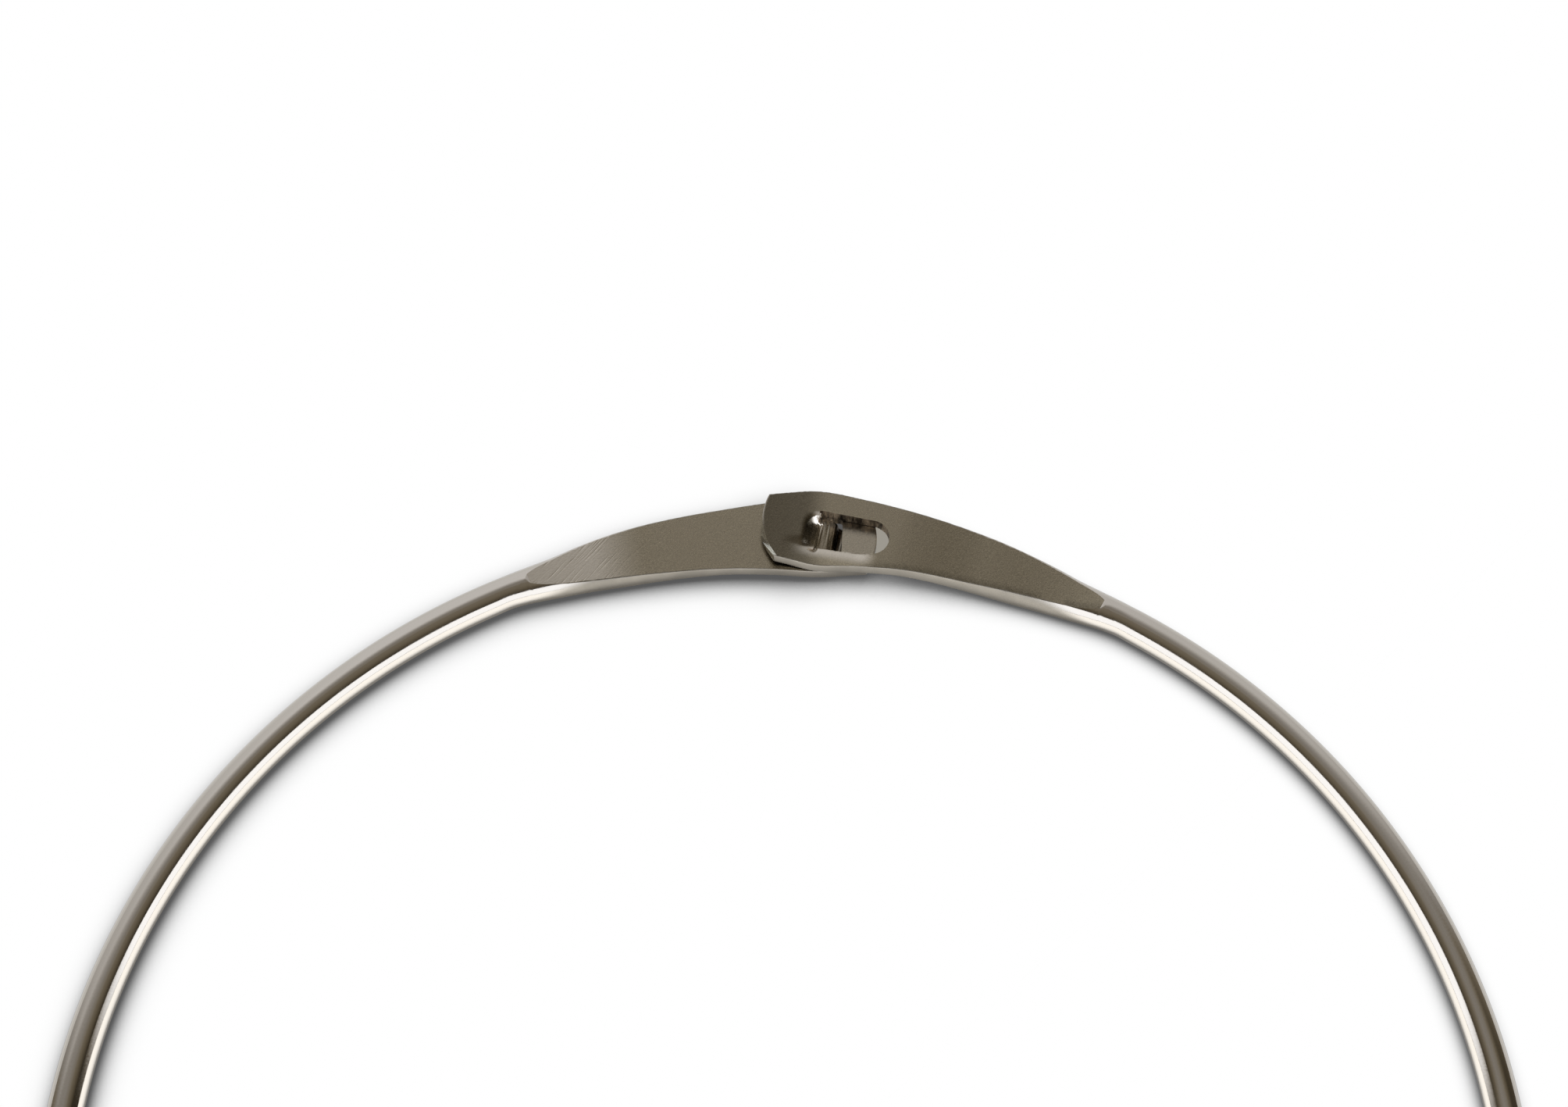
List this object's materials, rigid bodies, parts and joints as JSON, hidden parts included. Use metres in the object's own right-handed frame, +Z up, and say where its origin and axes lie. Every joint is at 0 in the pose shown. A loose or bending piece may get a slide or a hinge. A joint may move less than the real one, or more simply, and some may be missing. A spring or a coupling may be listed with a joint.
{
  "type": "key ring",
  "caption": "Round spring-wire key ring whose flattened ends overlap and lock with a tongue that hooks through a window.",
  "frame": {"origin": "centre of the round wire ring in plan, on the surface that it lies on", "axes": "+Z up, along the ring's own axis; +Y from the centre to the middle of the lock; +X to the right, along the upper blade towards its root"},
  "size_m": [0.1016, 0.1037, 0.0033],
  "materials": {
    "nickel_plate": "nickel plate: bright on the round wire, satin on the pressed blades, duller and slightly torn on the sheared edges"
  },
  "bodies": {
    "root": {"ring": "nickel_plate"}
  },
  "joints": []
}
